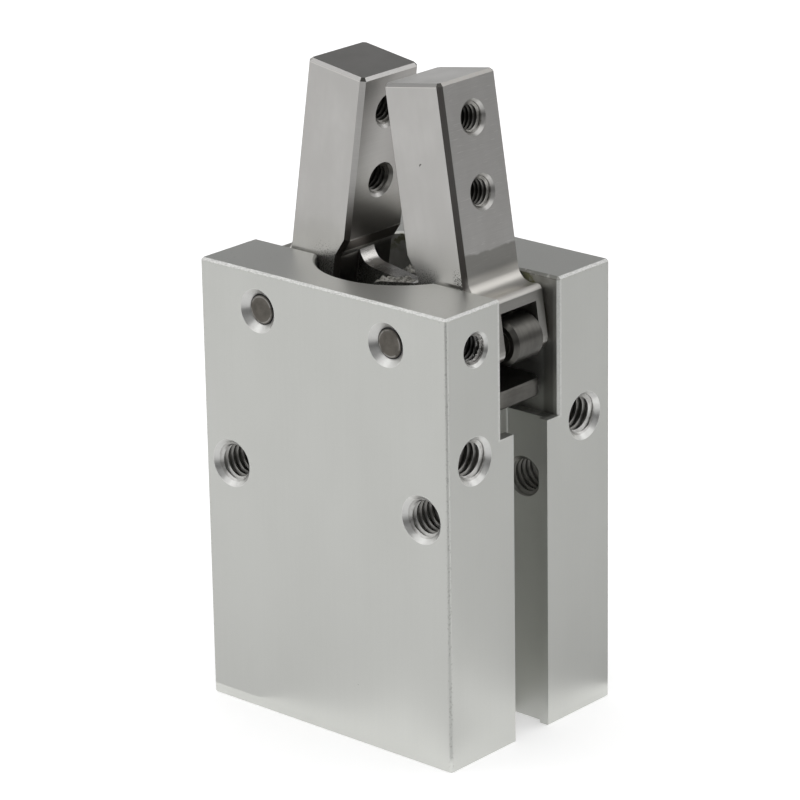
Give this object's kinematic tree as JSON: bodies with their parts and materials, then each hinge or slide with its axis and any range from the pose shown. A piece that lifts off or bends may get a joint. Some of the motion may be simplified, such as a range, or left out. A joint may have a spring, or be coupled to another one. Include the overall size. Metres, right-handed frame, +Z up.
{
  "type": "pneumatic angular gripper",
  "caption": "Pneumatic angular gripper: aluminium block body with threaded mounts and side switch grooves, and steel fingers that swing open on pivot pins.",
  "frame": {"origin": "middle of the base face, on the piston axis", "axes": "+X across the two fingers to the right, +Y from the front face to the back, +Z up along the pistons to the finger tips"},
  "size_m": [0.0306, 0.0236, 0.0635],
  "materials": {
    "anodised_body": "satin clear anodised",
    "finger_steel": "ground",
    "pin_steel": "ground",
    "roller_steel": "hardened, oiled",
    "black_screw": "black oxide",
    "piston_aluminium": "hard anodised",
    "seal_rubber": "matte",
    "magnet": "rubber-bonded magnet",
    "wear_plastic": "matte"
  },
  "bodies": {
    "body": {"body_block": "anodised_body", "end_cap": "piston_aluminium", "end_cap_seal": "seal_rubber", "bumper": "seal_rubber", "retaining_ring": "black_screw", "pivot_pin_right": "pin_steel", "pivot_pin_left": "pin_steel", "pivot_set_screws": "black_screw"},
    "rod": {"lower_piston": "piston_aluminium", "lower_piston_seal": "seal_rubber", "magnet_ring": "magnet", "wear_ring": "wear_plastic", "piston_rod": "pin_steel", "rod_screw": "black_screw", "centre_pin": "pin_steel"},
    "upper_piston": {"upper_piston": "piston_aluminium", "upper_piston_seal": "seal_rubber", "rod_seal": "seal_rubber"},
    "finger_right": {"finger_right": "finger_steel", "roller_pin_right": "pin_steel"},
    "finger_left": {"finger_left": "finger_steel", "roller_pin_left": "pin_steel"},
    "side_roller_right": {"side_roller_right": "roller_steel"},
    "side_roller_left": {"side_roller_left": "roller_steel"}
  },
  "joints": [
    {"name": "rod_slide", "type": "slide", "parent": "body", "child": "rod", "axis": [0, 0, 1], "range_m": [0, 0.00563]},
    {"name": "upper_piston_slide", "type": "slide", "parent": "body", "child": "upper_piston", "axis": [0, 0, -1], "range_m": [0, 0.000778]},
    {"name": "finger_right_pivot", "type": "hinge", "parent": "body", "child": "finger_right", "pos_m": [0.008, 0, 0.0407], "axis": [0, 1, 0], "range_deg": [0, 38.75]},
    {"name": "side_roller_right_spin", "type": "hinge", "parent": "finger_right", "child": "side_roller_right", "pos_m": [0.01303, 0, 0.03925], "axis": [0, 1, 0], "continuous": true},
    {"name": "finger_left_pivot", "type": "hinge", "parent": "body", "child": "finger_left", "pos_m": [-0.008, 0, 0.0407], "axis": [0, -1, 0], "range_deg": [0, 38.75]},
    {"name": "side_roller_left_spin", "type": "hinge", "parent": "finger_left", "child": "side_roller_left", "pos_m": [-0.01303, 0, 0.03925], "axis": [0, -1, 0], "continuous": true}
  ],
  "couplings": [
    {"joint": "upper_piston_slide", "follows": "rod_slide", "ratio": 0.13835},
    {"joint": "finger_right_pivot", "follows": "rod_slide", "rad_per_m": 120.2},
    {"joint": "finger_left_pivot", "follows": "rod_slide", "rad_per_m": 120.2}
  ]
}
